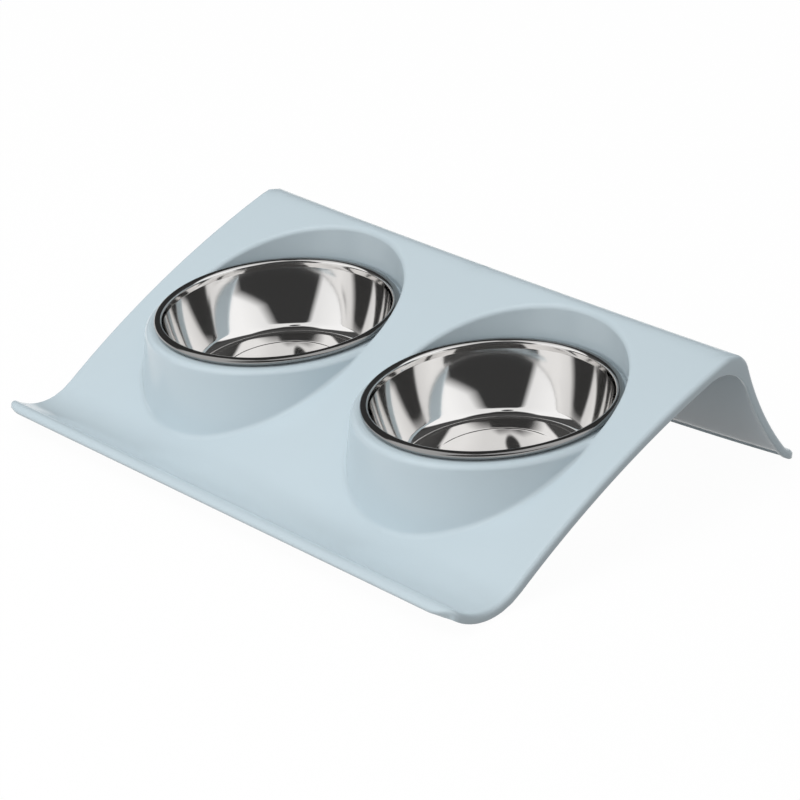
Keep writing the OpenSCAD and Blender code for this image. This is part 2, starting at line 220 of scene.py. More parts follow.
class MeshDraft:
    """Points and faces gathered before they become one mesh."""

    def __init__(self):
        self.points = []
        self.faces = []

    def add(self, points):
        """Adds points of any grid shape and returns their numbers in that shape."""
        points = np.asarray(points, float)
        first = len(self.points)
        self.points.extend(points.reshape(-1, 3).tolist())
        return np.arange(first, len(self.points)).reshape(points.shape[:-1])

    def quads(self, numbers, closed=False):
        """Fills a grid of point numbers with faces; a closed one joins its last column to its first."""
        numbers = np.asarray(numbers)
        if closed:
            numbers = np.concatenate([numbers, numbers[:, :1]], axis=1)
        corners = np.stack([numbers[:-1, :-1], numbers[:-1, 1:], numbers[1:, 1:], numbers[1:, :-1]], axis=-1)
        self.faces.extend(corners.reshape(-1, 4).tolist())

    def fan(self, ring, place):
        """Closes a ring of point numbers with triangles to a new point."""
        tip = int(self.add([place])[0])
        self.faces.extend([int(a), int(b), tip] for a, b in zip(ring, np.roll(ring, -1)))

    def mirrored(self):
        """A copy with its mirror image across X = 0, sharing the points that lie there."""
        whole = MeshDraft()
        points = np.array(self.points)
        whole.points = points.tolist()
        twin = np.arange(len(points))
        off_seam = np.abs(points[:, 0]) > HAIR
        twin[off_seam] = len(points) + np.arange(off_seam.sum())
        whole.points.extend((points[off_seam] * (-1, 1, 1)).tolist())
        whole.faces = self.faces + [[int(twin[i]) for i in reversed(face)] for face in self.faces]
        return whole

    def build(self, name):
        """The mesh as a smooth-shaded object whose faces look outwards."""
        mesh = bpy.data.meshes.new(name)
        mesh.from_pydata(self.points, [], self.faces)
        work = bmesh.new()
        work.from_mesh(mesh)
        bmesh.ops.recalc_face_normals(work, faces=work.faces)
        work.to_mesh(mesh)
        work.free()
        mesh.shade_smooth()
        piece = bpy.data.objects.new(name, mesh)
        bpy.context.scene.collection.objects.link(piece)
        return piece


def arc(centre, radius, start, end, steps):
    """Points of an arc in a section, from one angle to another."""
    turn = np.linspace(start, end, steps + 1)
    return np.stack([centre[0] + radius * np.cos(turn), centre[1] + radius * np.sin(turn)], axis=1)


def rounded(corners, radii, steps):
    """A line through corners in a section, with an arc of its own radius at each inner corner."""
    corners = [np.array(c, float) for c in corners]
    line = [corners[0]]
    for before, here, after, radius in zip(corners, corners[1:], corners[2:], radii):
        back = (before - here) / np.linalg.norm(before - here)
        on = (after - here) / np.linalg.norm(after - here)
        half = acos(np.clip(back @ on, -1, 1)) / 2
        reach = radius / tan(half)
        centre = here + (back + on) / np.linalg.norm(back + on) * radius / sin(half)
        first, last = here + back * reach - centre, here + on * reach - centre
        start = atan2(first[1], first[0])
        sweep = atan2(first[0] * last[1] - first[1] * last[0], first @ last)
        line.extend(arc(centre, radius, start, start + sweep, steps))
    line.append(corners[-1])
    return np.array(line)


def lathe(draft, section, centre, segments):
    """Turns an open section of (radius, height) points about the Z line through centre."""
    turn = np.linspace(0, 2 * pi, segments, endpoint=False)
    radius, height = section[:, :1], section[:, 1:]
    ring = np.stack([centre[0] + radius * np.cos(turn), centre[1] + radius * np.sin(turn),
                     centre[2] + height + 0 * turn], axis=-1)
    numbers = draft.add(ring)
    draft.quads(numbers, closed=True)
    return numbers


# Stand


class SideProfile:
    """The stand's bent sheet. Its top surface is a chain of tangent arcs from the front edge to the rear
    edge, and s is a place along it. The slopes are those where the arcs meet, rising towards the back."""

    def __init__(self, sizes, foot_z):
        p = sizes
        self.sizes = sizes
        self.slopes = np.array([p.lip_start_angle, -p.lip_end_angle, p.slope_start_angle, p.slope_end_angle,
                                -p.leg_top_angle, -p.leg_foot_angle, -p.toe_end_angle])
        turns = np.diff(self.slopes)
        self.signs = np.sign(turns)
        falls = self.signs * np.diff(np.cos(self.slopes))
        runs = self.signs * np.diff(np.sin(self.slopes))
        trough_z = foot_z + p.edge_depth
        front_z = trough_z + falls[0] * p.lip_r + p.trough_r * (1 - cos(p.lip_end_angle))
        ridge_end_z = front_z - falls[:RIDGE + 1] @ np.array([p.lip_r, p.trough_r, p.slope_r, p.ridge_r])
        leg_end_z = foot_z + p.edge_depth * cos(p.toe_end_angle) + falls[TOE] * p.toe_r
        leg_r = (ridge_end_z - leg_end_z) / (cos(p.leg_foot_angle) - cos(p.leg_top_angle))
        self.radii = np.array([p.lip_r, p.trough_r, p.slope_r, p.ridge_r, leg_r, p.toe_r])
        self.lengths = self.radii * np.abs(turns)
        self.turns = turns
        self.starts = np.append(0, np.cumsum(self.lengths))
        self.y = SEAT_Y - p.front_y + np.append(0, np.cumsum(runs * self.radii))
        self.z = front_z - np.append(0, np.cumsum(falls * self.radii))
        self.end = self.starts[-1]
        self.ridge = (self.starts[RIDGE] + self.starts[RIDGE + 1]) / 2
        self.bow_start = self.starts[RIDGE] - p.leg_bow_start
        self.half_w = SEAT_X + bpy.context.scene.bowl_seat.ledge_r + p.side_margin

    def bow(self, x, s):
        """Forward bow of the rear leg, none at its two sides."""
        along = np.maximum(0, s - self.bow_start) / (self.end - self.bow_start)
        return self.sizes.leg_bow * (1 - (x / self.half_w) ** 2) * along**2

    def arch_extra(self, s):
        """Extra depth of the edge under the ridge, where its inner line is one round arch. The arch touches
        the lines that the edge follows on both sides of the ridge."""
        p = self.sizes
        half_angle = (pi - abs(self.turns[RIDGE])) / 2
        drop = (p.ridge_arch_r - p.ridge_r + p.edge_depth) / sin(half_angle)
        reach = drop * cos(half_angle)
        from_ridge, half_ridge = np.abs(s - self.ridge), self.lengths[RIDGE] / 2
        a = np.minimum(from_ridge, half_ridge) / p.ridge_r
        under = np.sqrt(p.ridge_arch_r**2 - (drop * np.sin(a))**2)
        over = p.ridge_r - p.edge_depth + drop * np.cos(a) - under
        left = np.clip(reach + half_ridge - from_ridge, 0, reach)
        beside = p.ridge_arch_r - np.sqrt(p.ridge_arch_r**2 - left**2)
        return np.where(from_ridge < half_ridge, over, beside)

    def arc_at(self, s):
        """Number of the arc at a place along the sheet."""
        return np.clip(np.searchsorted(self.starts, s, side="right") - 1, 0, len(self.radii) - 1)

    def point(self, x, s, depth):
        """Place of a point of the sheet, at a depth under its top surface."""
        x, s, depth = np.broadcast_arrays(np.asarray(x, float), s, depth)
        i = self.arc_at(s)
        slope = self.slopes[i] + self.turns[i] * (s - self.starts[i]) / self.lengths[i]
        radius = self.signs[i] * self.radii[i]
        y = self.y[i] + radius * (np.sin(slope) - np.sin(self.slopes[i])) + depth * np.sin(slope)
        z = self.z[i] + radius * (np.cos(self.slopes[i]) - np.cos(slope)) - depth * np.cos(slope)
        return np.stack([x, y - self.bow(x, s), z], axis=-1)

    def nearest(self, y, z):
        """Height over the unbowed top surface, and the place along it, of points (y, z)."""
        best = np.full(y.shape, np.inf)
        height = np.zeros(y.shape)
        place = np.zeros(y.shape)
        for i, radius in enumerate(self.signs * self.radii):
            centre_y = self.y[i] - radius * sin(self.slopes[i])
            centre_z = self.z[i] + radius * cos(self.slopes[i])
            slope = np.arctan2(self.signs[i] * (y - centre_y), self.signs[i] * (centre_z - z))
            slope = np.clip(slope, *sorted(self.slopes[i:i + 2]))
            dy = y - centre_y - radius * np.sin(slope)
            dz = z - centre_z + radius * np.cos(slope)
            gap = np.hypot(dy, dz)
            closer = gap < best
            best = np.where(closer, gap, best)
            height = np.where(closer, dz * np.cos(slope) - dy * np.sin(slope), height)
            along = (slope - self.slopes[i]) / self.turns[i] * self.lengths[i]
            place = np.where(closer, self.starts[i] + along, place)
        return height, place

    def over(self, x, y, z):
        """The same for points of the bowed sheet."""
        height, place = self.nearest(y, z)
        rounds = 4
        for _ in range(rounds):
            height, place = self.nearest(y + self.bow(x, place), z)
        return height, place


def round_union(a, b, radius):
    """Joins two distance fields, negative inside, with a rounded corner between them."""
    corner = np.hypot(np.maximum(radius - a, 0), np.maximum(radius - b, 0))
    return np.maximum(radius, np.minimum(a, b)) - corner


def round_overlap(a, b, radius):
    return -round_union(-a, -b, radius)


def smooth(share_along):
    t = np.clip(share_along, 0, 1)
    return t * t * (3 - 2 * t)


@dataclass
class SeatSide:
    """One side of a seat, top or underside: the sheet's surface, cut back by the cone of a recess and raised
    by a round mound with a flat top. Heights are over the middle of the bowl's rim."""

    profile: SideProfile
    depth: float
    top: float
    wall_r: float
    mound_round: float
    recess_r: float
    edge_round: float
    corner_round: float
    foot_round: float

    def __post_init__(self):
        seat = self.seat = bpy.context.scene.bowl_seat
        self.crest_z = self.top - self.mound_round
        out = self.wall_r + (self.top - self.crest_z) * tan(seat.draft)
        self.crest_r = out - self.mound_round / cos(seat.draft)

    def field(self, r, z, turn):
        """Distance from the side's surface, below zero inside, in the upright plane at each turn."""
        seat = self.seat
        over, _ = self.profile.over(SEAT_X + r * np.cos(turn), SEAT_Y + r * np.sin(turn), z + rim_z())
        cone = self.recess_r + (z - self.top) * tan(seat.recess_draft)
        recess = (cone - r) * cos(seat.recess_draft)
        sheet = round_overlap(over + self.depth, recess, self.edge_round)
        dr, dz = r - self.crest_r, z - self.crest_z
        flat, wall = dz, dr * cos(seat.draft) + dz * sin(seat.draft)
        between = (np.arctan2(dz, dr) > seat.draft) & (np.arctan2(dz, dr) < QUARTER)
        mound = np.where(between, np.hypot(dr, dz), np.maximum(flat, wall)) - self.mound_round
        low = smooth((self.top - z) / seat.foot_fade)
        foot = self.corner_round + (self.foot_round - self.corner_round) * low
        return round_union(sheet, mound, foot)

    def slope(self, r, z, turn):
        tiny = 0.01 * MM
        across = self.field(r + tiny, z, turn) - self.field(r - tiny, z, turn)
        up = self.field(r, z + tiny, turn) - self.field(r, z - tiny, turn)
        return across / (2 * tiny), up / (2 * tiny)

    def follow(self, start_r, end_r, turn, step):
        """Follows the surface outwards from the flat top in each plane. Returns (steps, turns, 2)."""
        r = np.full(turn.shape, start_r)
        z = np.full(turn.shape, self.top)
        going_r, going_z = np.ones(turn.shape), np.zeros(turn.shape)
        line = [np.stack([r, z], axis=-1)]
        most_steps, rounds, least_slope = 600, 2, 0.05
        while np.any(r < end_r) and len(line) < most_steps:
            across, up = self.slope(r, z, turn)
            size = np.hypot(across, up)
            step_r, step_z = up / size, -across / size
            sense = np.sign(step_r * going_r + step_z * going_z)
            going_r, going_z = step_r * sense, step_z * sense
            new_r, new_z = r + step * going_r, z + step * going_z
            for _ in range(rounds):
                off = self.field(new_r, new_z, turn)
                across, up = self.slope(new_r, new_z, turn)
                size = np.maximum(across**2 + up**2, least_slope)
                new_r, new_z = new_r - off * across / size, new_z - off * up / size
            moving = r < end_r
            r, z = np.where(moving, new_r, r), np.where(moving, new_z, z)
            line.append(np.stack([r, z], axis=-1))
        if np.any(r < end_r):
            raise RuntimeError("a seat's surface can't be followed out to the sheet")
        return np.array(line)


def even_rows(line, end_r, rows):
    """Sets each traced line down as the same number of points, closer together where it turns."""
    turn_weight, least_weight, blur = 1.6 * MM, 0.02 * MM, 5
    out = np.empty((rows, line.shape[1], 2))
    for k in range(line.shape[1]):
        r, z = line[:, k, 0], line[:, k, 1]
        last = int(np.argmax(r >= end_r[k]))
        part = (end_r[k] - r[last - 1]) / (r[last] - r[last - 1])
        r, z = r[:last + 1].copy(), z[:last + 1].copy()
        z[last] = z[last - 1] + part * (z[last] - z[last - 1])
        r[last] = end_r[k]
        dr, dz = np.diff(r), np.diff(z)
        bend = np.abs(np.diff(np.unwrap(np.arctan2(dz, dr))))
        turned = np.append(0, bend) + np.append(bend, 0)
        weight = np.hypot(dr, dz) + turn_weight * turned
        spread = np.convolve(weight, np.ones(blur) / blur, mode="same") + least_weight
        along = np.append(0, np.cumsum(spread))
        even = np.linspace(0, along[-1], rows)
        out[:, k, 0] = np.interp(even, along, r)
        out[:, k, 1] = np.interp(even, along, z)
    return out


def lerp(a, b, t):
    return a + (b - a) * t


@dataclass
class SheetPatch:
    """Lays out the sheet's flat pattern for one half of the stand and fills its top and its underside. Round
    the seat the rows run out from its circle to a box, and in front and behind they run across the stand."""

    profile: SideProfile
    draft: MeshDraft
    front_s: float
    rear_s: float

    def lay_out(self, circle_x, circle_s, inset):
        """Where the lines out of the seat's circle meet the box round it, on the top side."""
        self.box_x = self.profile.half_w - inset
        centre = np.array([SEAT_X, (circle_s.min() + circle_s.max()) / 2])
        out = np.stack([circle_x, circle_s], axis=1) - centre
        box = np.array([[0, self.front_s], [self.box_x, self.rear_s]])
        reach = np.where(out > 0, (box[1] - centre) / out, (box[0] - centre) / out).min(axis=1)
        edge = centre + out * reach[:, None]
        for x in box[:, 0]:
            for s in box[:, 1]:
                edge[np.argmin(np.hypot(edge[:, 0] - x, edge[:, 1] - s))] = (x, s)

        def side_of_box(axis, place):
            ids = np.flatnonzero(np.abs(edge[:, axis] - place) < HAIR)
            return ids[np.argsort(edge[ids, 1 - axis])]

        self.edge = edge
        self.front_ids = side_of_box(1, self.front_s)
        self.rear_ids = side_of_box(1, self.rear_s)
        self.side_ids = side_of_box(0, self.box_x)

    def stations(self):
        """Places round the outline of the half: corner centre, outward direction and radius of each."""
        sizes, end = self.profile.sizes, self.profile.end
        front_r, rear_r = sizes.front_corner_r, sizes.rear_corner_r
        turn = np.linspace(0, QUARTER, CORNER_STEPS + 1)
        front_shares = self.edge[self.front_ids, 0] / self.box_x
        rear_shares = self.edge[self.rear_ids, 0] / self.box_x

        def rows(radius, s, direction, shares=1):
            x, s, direction = np.broadcast_arrays((self.profile.half_w - radius) * shares, s, direction)
            return np.stack([x, s, np.cos(direction), np.sin(direction), np.full(x.shape, radius)], axis=1)

        front = rows(front_r, front_r, -QUARTER, front_shares)
        front_corner = rows(front_r, front_r, turn - QUARTER)
        front_side = rows(front_r, self.steps_between(front_r, self.front_s), 0)
        side = rows(front_r, self.edge[self.side_ids, 1], 0)
        rear_side = rows(rear_r, self.steps_between(self.rear_s, end - rear_r), 0)
        rear_corner = rows(rear_r, end - rear_r, turn)
        rear = rows(rear_r, end - rear_r, QUARTER, rear_shares[::-1])
        front_rows = np.concatenate([front_corner, front_side])
        rear_rows = np.concatenate([rear_side, rear_corner])
        self.side_start = len(front) - 1 + len(front_rows)
        # The two ends: stations, shares of the half's width, points of the box, way round the outline
        self.ends = ((front_rows, front_shares, self.front_ids, 1),
                     (rear_rows[::-1], rear_shares, self.rear_ids, -1))
        return np.concatenate([front[:-1], front_rows, side, rear_rows, rear[1:]])

    def steps_between(self, start, end):
        """Places between two others, closer together where the sheet bends tighter."""
        fine, coarse, steps_per_radius = 0.9 * MM, 3 * MM, 11
        places = [start]
        while places[-1] < end:
            step = self.profile.radii[self.profile.arc_at(places[-1])] / steps_per_radius
            places.append(places[-1] + float(np.clip(step, fine, coarse)))
        places = np.array(places)
        return (start + (places - start) * (end - start) / (places[-1] - start))[1:-1]

    def flat(self, stations, inset):
        """Places of stations on the flat pattern, at an inset from the edge."""
        out = stations[:, 4] - inset
        return stations[:, 0] + out * stations[:, 2], stations[:, 1] + out * stations[:, 3]

    def fill(self, side, ring_ids, inset, depth):
        """Fills the sheet on one side between the seat's circle and the outline's ring of point numbers."""
        edge_x = self.edge[:, 0] / self.box_x * (self.profile.half_w - inset)
        rows = np.linspace(0, 1, BOX_STEPS + 1)[1:, None]
        x = lerp(side.circle_x, edge_x, rows)
        s = lerp(side.circle_s, self.edge[:, 1], rows)
        inner = self.draft.add(self.profile.point(x[:-1], s[:-1], depth))
        border = np.full(len(edge_x), -1)
        border[self.side_ids] = ring_ids[self.side_start:][:len(self.side_ids)]
        loose = np.flatnonzero(border < 0)
        border[loose] = self.draft.add(self.profile.point(x[-1, loose], s[-1, loose], depth))
        self.draft.quads(np.concatenate([side.ids[-1:], inner, border[None]]), closed=True)

        for stations, shares, box_ids, way in self.ends:
            self.strip(stations, shares, ring_ids[::way], border[box_ids], inset, depth)

    def strip(self, stations, shares, ring_ids, box_ids, inset, depth):
        """Rows across the half stand from its front or rear edge to the box round the seat."""
        ends_x, rows_s = self.flat(stations[1:], inset)
        x = ends_x[:, None] * shares[None, :-1]
        inner = self.draft.add(self.profile.point(x, rows_s[:, None], depth))
        edge_ids, end_ids = np.split(ring_ids[:len(shares) + len(rows_s)], [len(shares)])
        rows = np.concatenate([inner, end_ids[:, None]], axis=1)
        self.draft.quads(np.concatenate([edge_ids[None], rows, box_ids[None]]))


def edge_section(p):
    """The turned-down edge from the underside out and up to the top: inset, depth and share of the extra
    depth under the ridge."""
    web, low = p.edge_depth - p.sheet_t, p.edge_depth - p.bottom_round
    inner = arc((p.edge_t + web / 2, p.sheet_t + web / 2), web / 2, -QUARTER, -pi, SMALL_STEPS)
    foot_in = arc((p.edge_t - p.bottom_round, low), p.bottom_round, 0, QUARTER, FOOT_STEPS)
    foot_out = arc((p.bottom_round, low), p.bottom_round, QUARTER, pi, SMALL_STEPS)
    top = arc((p.edge_round, p.edge_round), p.edge_round, pi, 3 * QUARTER, EDGE_STEPS)
    parts = ((inner, 0), (foot_in, 1), (foot_out, 1), (top, 0))
    return np.concatenate([np.column_stack([line, np.full(len(line), extra)]) for line, extra in parts])


def hem(seat, top, bottom):
    """The edge of a seat's hole, from the ledge's top round to its underside."""
    r, k = seat.hole_r, seat.hem_round
    upper = arc((r + k, top - k), k, QUARTER, pi, SMALL_STEPS)
    lower = arc((r + k, bottom + k), k, pi, 3 * QUARTER, SMALL_STEPS)
    return np.concatenate([upper, lower])


def stand_half(profile):
    """Half of the stand as a draft: seat, sheet and turned-down edge."""
    scene = bpy.context.scene
    seat, sizes = scene.bowl_seat, scene.bowl_stand
    turn = np.linspace(0, 2 * pi, SEAT_TURNS, endpoint=False) + pi / SEAT_TURNS
    top_z = -seat.ledge_drop
    bottom_z = top_z - seat.wall
    wall_r = seat.ledge_r + seat.crest_r * (1 - sin(seat.draft)) / cos(seat.draft)
    inner_r = wall_r + seat.wall * tan(seat.draft) - seat.wall / cos(seat.draft)
    top = SeatSide(profile, 0, top_z, wall_r, seat.crest_r, seat.ledge_r,
                   seat.recess_round, seat.corner_round, seat.foot_round)
    under = SeatSide(profile, sizes.sheet_t, bottom_z, inner_r, seat.under_round, seat.ledge_r + seat.wall,
                     seat.under_round, seat.under_round, seat.under_round)
    reach = lerp(seat.front_reach, seat.rear_reach, (1 + np.sin(turn)) / 2)
    start_r = seat.hole_r + seat.hem_round
    step, front_gap = 0.3 * MM, 4 * MM
    draft = MeshDraft()

    def in_place(points):
        r, z = points[..., 0], points[..., 1]
        return np.stack([SEAT_X + r * np.cos(turn), SEAT_Y + r * np.sin(turn), rim_z() + z], axis=-1)

    for side in (top, under):
        line = even_rows(side.follow(start_r, reach, turn, step), reach, SEAT_ROWS)
        side.ids = draft.add(in_place(line[1:]))
        circle = in_place(line[-1])
        side.circle_x, side.circle_s = circle[:, 0], profile.over(*circle.T)[1]
    hem_line = hem(seat, top_z, bottom_z)
    hem_ids = draft.add(in_place(np.repeat(hem_line[:, None], SEAT_TURNS, axis=1)))
    draft.quads(np.concatenate([top.ids[::-1], hem_ids, under.ids]), closed=True)

    patch = SheetPatch(profile, draft, float(top.circle_s.min()) - front_gap, profile.ridge)
    patch.lay_out(top.circle_x, top.circle_s, sizes.edge_round)
    stations = patch.stations()
    section = edge_section(sizes)
    rings = []
    for inset, depth, extra in section:
        x, s = patch.flat(stations, inset)
        rings.append(draft.add(profile.point(x, s, depth + extra * profile.arch_extra(s))))
    draft.quads(np.array(rings))
    patch.fill(under, rings[0], section[0][0], sizes.sheet_t)
    patch.fill(top, rings[-1], sizes.edge_round, 0)
    return draft


def pad_pocket(draft, profile, node):
    """Adds the ring that holds a pad, from under the stand up into the middle of the sheet."""
    pocket, sizes = bpy.context.scene.bowl_pocket, bpy.context.scene.bowl_stand
    low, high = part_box(node)
    centre = middle(node)
    inner_r = (high.x - low.x) / 2 + pocket.clearance
    outer_r = inner_r + pocket.wall
    section = rounded([(outer_r, high.z), (outer_r, pocket.proud), (inner_r, pocket.proud),
                       (inner_r, high.z)], [pocket.rounding] * 2, SMALL_STEPS)
    numbers = lathe(draft, section, (centre.x, centre.y, 0), POCKET_SEGMENTS)
    along = np.linspace(0, profile.end, SHEET_SAMPLES)

    def middle_z(x, y):
        line = profile.point(x, along, sizes.sheet_t / 2)
        return float(np.interp(y, line[:, 1], line[:, 2]))

    # What reaches past the rear edge is pulled in
    for i in numbers.ravel():
        x, y, _ = draft.points[i]
        past = max(0, y - profile.point(x, profile.end, sizes.edge_depth)[1])
        draft.points[i][1] = y - (1 - pocket.past_edge) * past
    for i in numbers[0]:
        draft.points[i][2] = middle_z(draft.points[i][0], draft.points[i][1])
    for ring, z in ((numbers[0], middle_z(centre.x, centre.y)), (numbers[-1], high.z)):
        draft.fan(ring, (centre.x, centre.y, z))


def rim_z():
    """Height of the middle of the bowls' rims."""
    return BASE_Z + bpy.context.scene.bowl_bowl.depth


class PETBOWL_OT_stand(bpy.types.Operator):
    """Models the moulded stand with its seats, lip, ridge, leg and turned-down edge"""

    bl_idname = "petbowl.stand"
    bl_label = "Make stand"

    def execute(self, context):
        scene = context.scene
        profile = SideProfile(scene.bowl_stand, scene.bowl_pocket.proud)
        draft = stand_half(profile).mirrored()
        for node in PADS:
            pad_pocket(draft, profile, node)
        shell = draft.build("moulded_stand")
        shell.data.materials.append(plastic())
        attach(shell, STAND_BODY)
        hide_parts("stand")
        return {"FINISHED"}


# Bowls


def bowl_section(b):
    """Section of a bowl as (radius, height over the middle of its rim): inside from the centre of its base up
    to the rim, round the curl, and back down the outside."""
    rim_in = b.rim_r - 2 * b.bead_r
    base_z = -(b.depth - b.steel_t)
    bend_z = base_z + b.bend_r
    neck = np.array([rim_in, -b.neck_h])
    bend_centre = np.array([b.base_r, bend_z])
    # The wall's arc touches the bend and ends at the neck
    reach = float(np.linalg.norm(neck - bend_centre))
    inward = b.wall_r - b.bend_r
    corner = acos((inward**2 + reach**2 - b.wall_r**2) / (2 * inward * reach))
    wall_angle = atan2(*(neck - bend_centre)[::-1]) + corner - pi
    wall_centre = bend_centre - inward * np.array([cos(wall_angle), sin(wall_angle)])
    neck_angle = atan2(*(neck - wall_centre)[::-1])

    def base(drop):
        corners = [(0, base_z + 2 * b.step), (b.ring_r, base_z + 2 * b.step),
                   (b.ring_r + b.ring_run, base_z + b.step), (b.base_r - b.step, base_z + b.step),
                   (b.base_r, base_z)]
        line = rounded(corners, [b.ring_round, b.ring_round, b.step_round], BASE_STEPS)
        spread = np.linspace(0, 1, FLAT_STEPS + 1)[1:, None]
        middle_flat = lerp(line[0] + (b.steel_t, 0), line[1], spread)
        return np.concatenate([middle_flat, line[2:]]) - (0, drop)

    def bend(thickness):
        return arc((b.base_r, bend_z), b.bend_r + thickness, -QUARTER, wall_angle, BEND_STEPS)

    def curl(thickness):
        bead_x = b.rim_r - b.bead_r
        return arc((bead_x, 0), b.bead_r - thickness, b.curl_start_angle, b.curl_end_angle, CURL_STEPS)

    def side(thickness):
        """Base, bend, wall and the neck's rounding, up to the curl."""
        high = curl(0)[0] + (thickness, 0)
        wall = arc(wall_centre, b.wall_r + thickness, wall_angle, neck_angle, WALL_STEPS)
        wall = wall[wall[:, 1] < -b.neck_h - b.neck_round]
        corner = rounded([wall[-1], high - (0, b.neck_h), high], [b.neck_round], NECK_STEPS)[1:-1]
        return np.concatenate([base(thickness), bend(thickness)[1:], wall[1:], corner])

    return np.concatenate([side(0), curl(0), curl(b.steel_t)[::-1], side(b.steel_t)[::-1]])


class PETBOWL_OT_bowls(bpy.types.Operator):
    """Models the two pressed steel bowls with their rolled rims and stepped bases"""

    bl_idname = "petbowl.bowls"
    bl_label = "Make bowls"

    def execute(self, context):
        sizes = context.scene.bowl_bowl
        section = bowl_section(sizes)
        finish = steel()
        for node, side in BOWLS.items():
            draft = MeshDraft()
            axis = (side * SEAT_X, SEAT_Y, rim_z())
            numbers = lathe(draft, section, axis, BOWL_SEGMENTS)
            for ring in (numbers[0], numbers[-1]):
                draft.fan(ring, np.mean([draft.points[i] for i in ring], axis=0))
            bowl = draft.build(node + "_steel")
            bowl.data.materials.append(finish)
            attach(bowl, node)
            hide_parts(node)
        return {"FINISHED"}


class PETBOWL_OT_pads(bpy.types.Operator):
    """Gives the anti-slip pads their rubber"""

    bl_idname = "petbowl.pads"
    bl_label = "Finish pads"

    def execute(self, context):
        finish = rubber()
        for node in PADS:
            pad = frame["nodes"][node]
            pad.data.materials.clear()
            pad.data.materials.append(finish)
        return {"FINISHED"}


# Materials


def arithmetic(operation, swapped=False):
    """A method that adds a Math node for a sum or product of two values."""
    def method(self, other):
        return self.math(operation, *((other, self) if swapped else (self, other)))
    return method


class Socket:
    """A value in a node tree that sums and products can be written with."""

    def __init__(self, tree, link):
        self.tree = tree
        self.link = link

    def math(self, operation, *values, clamp=False):
        inputs = dict(enumerate(values))
        return self.tree.value("ShaderNodeMath", inputs, operation=operation, use_clamp=clamp)

    __add__ = __radd__ = arithmetic("ADD")
    __mul__ = __rmul__ = arithmetic("MULTIPLY")
    __sub__ = arithmetic("SUBTRACT")
    __rsub__ = arithmetic("SUBTRACT", swapped=True)
    __truediv__ = arithmetic("DIVIDE")

    def __abs__(self):
        return self.math("ABSOLUTE", self)

    def share(self):
        """The same value, held between 0 and 1."""
        return self.math("ADD", self, 0, clamp=True)

    def past(self, limit, soft):
        """Share of the way past a limit, across a soft edge that the limit halves."""
        return ((self - limit) / soft + 0.5).share()


class Tree:
    """A node tree under construction."""

    def __init__(self, node_tree):
        self.nodes = node_tree.nodes
        self.links = node_tree.links

    def set(self, node, inputs):
        for key, value in inputs.items():
            if isinstance(value, Socket):
                self.links.new(value.link, node.inputs[key])
            else:
                node.inputs[key].default_value = value

    def value(self, kind, inputs=None, output=0, **settings):
        """Adds a node with its settings and inputs, and returns one of its outputs."""
        node = self.nodes.new(kind)
        for key, value in settings.items():
            setattr(node, key, value)
        self.set(node, inputs or {})
        return Socket(self, node.outputs[output])

    def mix_shader(self, share_b, a, b):
        return self.value("ShaderNodeMixShader", {0: share_b, 1: a, 2: b})

    def ray(self, kind):
        """1 for rays of a kind, such as Is Camera Ray."""
        return self.value("ShaderNodeLightPath", output=kind)


class Material(Tree):
    """A material under construction, with its Principled shader."""

    def __init__(self, name, **constants):
        self.material = bpy.data.materials.new(name)
        self.material.use_nodes = True
        super().__init__(self.material.node_tree)
        self.shader = self.nodes["Principled BSDF"]
        self.feed(**constants)

    def place(self):
        """Place on the object, in metres."""
        return self.value("ShaderNodeTexCoord", output="Object")

    def axis(self, name):
        """One coordinate of the place on the object."""
        return self.value("ShaderNodeSeparateXYZ", {"Vector": self.place()}, name)

    def noise(self, scale, detail):
        """Noise between 0 and 1."""
        inputs = {"Scale": scale, "Detail": detail, "Vector": self.place()}
        return self.value("ShaderNodeTexNoise", inputs, "Fac")

    def mix(self, share_b, a, b):
        """A colour between two."""
        return self.value("ShaderNodeMix", {0: share_b, 6: a, 7: b}, 2, data_type="RGBA")

    def tones(self, cloud, base, low, high):
        """A colour that wanders between two tones of a base, as shares of it."""
        return self.mix(cloud, plain(base, low), plain(base, high))

    def bump(self, height, strength, distance):
        inputs = {"Strength": strength, "Distance": distance, "Height": height}
        return self.value("ShaderNodeBump", inputs, "Normal")

    def feed(self, **values):
        """Sets or links the shader's inputs, such as Base Color by base_color."""
        self.set(self.shader, {key.replace("_", " ").title().replace("Ior", "IOR"): value
                               for key, value in values.items()})
        return self.material


def plain(colour_value, factor):
    """A tone of a colour, as a share of it."""
    return tuple(min(1.0, c * factor) for c in colour_value) + (1.0,)


def plastic():
    f = bpy.context.scene.bowl_finish
    m = Material("moulded_plastic", ior=1.5, specular_ior_level=0.5)
    grain_share, gloss_spread = 0.1, 0.08
    cloud = m.noise(scale=9, detail=3)
    grain = m.noise(scale=1400, detail=2)
    wave = m.noise(scale=34, detail=1)
    tone = m.tones(cloud, f.plastic, low=0.975, high=1.02)
    relief = m.bump(wave * (1 - grain_share) + grain * grain_share, strength=0.12, distance=0.4 * MM)
    return m.feed(base_color=tone, roughness=f.plastic_gloss + (cloud - 0.5) * gloss_spread, normal=relief)


